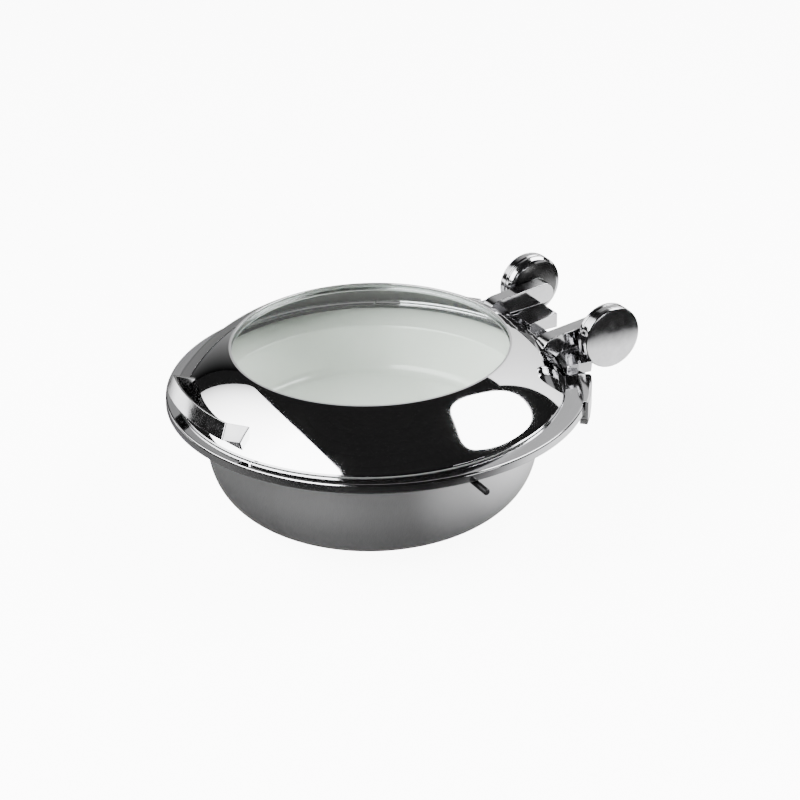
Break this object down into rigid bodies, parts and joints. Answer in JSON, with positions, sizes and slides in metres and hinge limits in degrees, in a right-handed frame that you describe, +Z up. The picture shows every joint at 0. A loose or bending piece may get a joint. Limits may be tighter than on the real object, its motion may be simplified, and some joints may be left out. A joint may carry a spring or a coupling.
{
  "type": "roll top chafer",
  "caption": "Round buffet chafer: water pan, rim ring, porcelain food pan and a hinged dome lid with a flat glass window, front strap handle and a drum hinge at the back.",
  "frame": {"origin": "centre of the base disc's flat underside, which stands on the table", "axes": "+Z up, -Y toward the front where the lid's handle is, +Y toward the hinge at the back"},
  "size_m": [0.478, 0.4955, 0.1983],
  "materials": {
    "mirror_steel": "mirror polished stainless steel",
    "satin_steel": "satin stainless steel",
    "dark_steel": "dark magnetic steel",
    "spring_steel": "oiled spring wire",
    "brass": "turned",
    "porcelain": "glossy off-white glaze",
    "glass": "clear tempered, faint green",
    "silicone": "matte grey silicone",
    "pad_rubber": "matte black rubber"
  },
  "bodies": {
    "base": {"induction_base_disc": "dark_steel", "water_pan": "satin_steel", "rim_ring": "mirror_steel", "left_hinge_drum": "mirror_steel", "right_hinge_drum": "mirror_steel", "left_drum_cap": "mirror_steel", "right_drum_cap": "mirror_steel", "left_axle_bush": "brass", "right_axle_bush": "brass", "left_brake_washer": "silicone", "right_brake_washer": "silicone", "left_torsion_spring": "spring_steel", "right_torsion_spring": "spring_steel", "left_hinge_base": "mirror_steel", "right_hinge_base": "mirror_steel", "left_backing_plate": "satin_steel", "right_backing_plate": "satin_steel", "left_hinge_screw_1": "satin_steel", "right_hinge_screw_1": "satin_steel", "left_hinge_screw_2": "satin_steel", "right_hinge_screw_2": "satin_steel", "left_rim_claw": "mirror_steel", "right_rim_claw": "mirror_steel", "left_claw_pad": "pad_rubber", "right_claw_pad": "pad_rubber", "left_side_peg": "dark_steel", "right_side_peg": "dark_steel", "left_rim_stop": "mirror_steel", "right_rim_stop": "mirror_steel"},
    "lid": {"lid_shell": "mirror_steel", "glass_seal": "silicone", "glass_window": "glass", "glass_retainer": "satin_steel", "lid_handle": "mirror_steel", "front_bumper": "silicone", "left_bumper": "silicone", "right_bumper": "silicone", "left_lid_arm": "mirror_steel", "right_lid_arm": "mirror_steel", "left_hinge_axle": "satin_steel", "right_hinge_axle": "satin_steel", "left_handle_stud": "satin_steel", "right_handle_stud": "satin_steel", "left_arm_screw_1": "satin_steel", "right_arm_screw_1": "satin_steel", "left_arm_screw_2": "satin_steel", "right_arm_screw_2": "satin_steel"},
    "pan": {"food_pan": "porcelain"}
  },
  "joints": [
    {"name": "lid_hinge", "type": "hinge", "parent": "base", "child": "lid", "pos_m": [0, 0.2455, 0.164], "axis": [-1, 0, 0], "range_deg": [0, 90]},
    {"name": "food_pan_lift", "type": "slide", "parent": "base", "child": "pan", "axis": [0, 0, 1], "range_m": [0, 0.01]}
  ]
}
